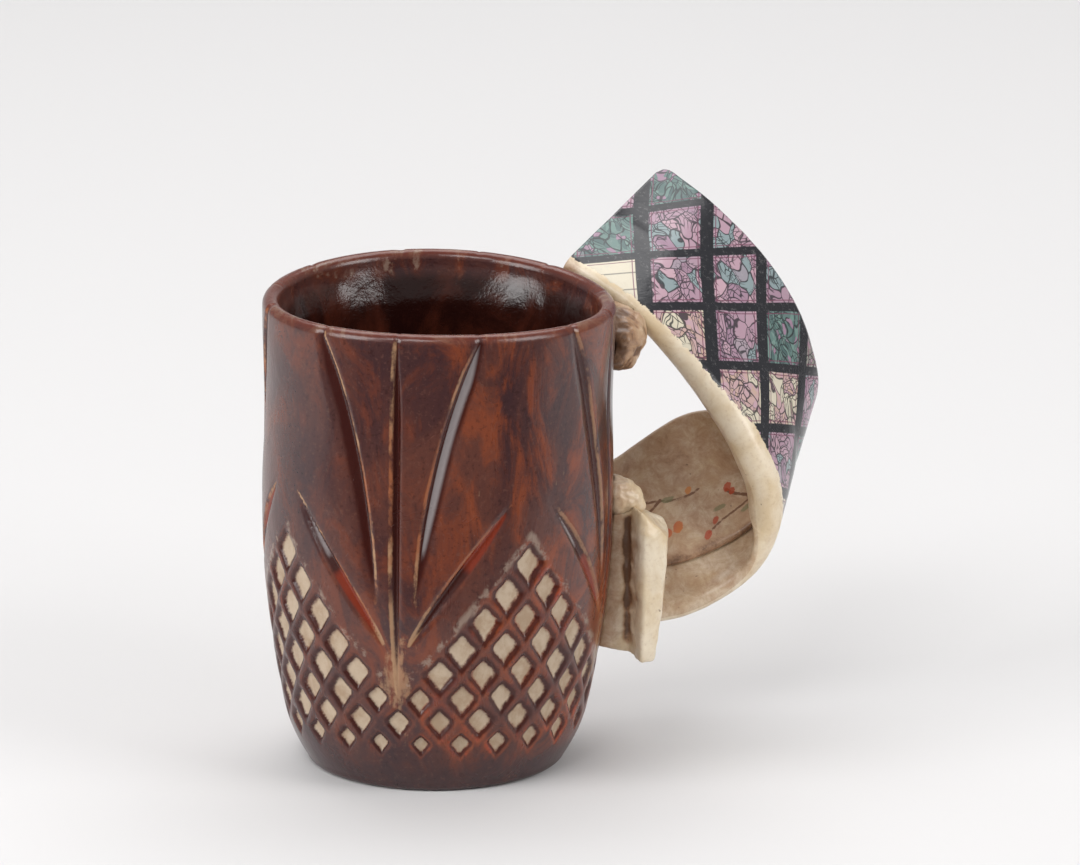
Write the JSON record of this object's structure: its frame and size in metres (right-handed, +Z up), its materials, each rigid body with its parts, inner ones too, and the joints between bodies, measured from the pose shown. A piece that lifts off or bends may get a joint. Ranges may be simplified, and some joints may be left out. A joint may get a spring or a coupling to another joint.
{
  "type": "mug",
  "caption": "Tall ceramic mug with a relief of leaf fans and sunk diamonds in brown glaze, and a wide tilted band handle held by a ribbed bracket.",
  "frame": {"origin": "centre of the foot, on the plane that the mug stands on", "axes": "+Z up along the cup, +X from the cup towards the handle, -Y towards the front in the picture"},
  "size_m": [0.1358, 0.109, 0.1318],
  "materials": {
    "brown_glaze": "gloss",
    "printed_glaze": "gloss",
    "sprigged_glaze": "satin",
    "cream_glaze": "satin",
    "cream_clay": "satin"
  },
  "bodies": {
    "root": {"cup": "brown_glaze", "outer_band": "printed_glaze", "inner_band": "sprigged_glaze", "top_lug": "cream_clay", "bracket": "cream_glaze", "joint_clay": "cream_clay"}
  },
  "joints": []
}
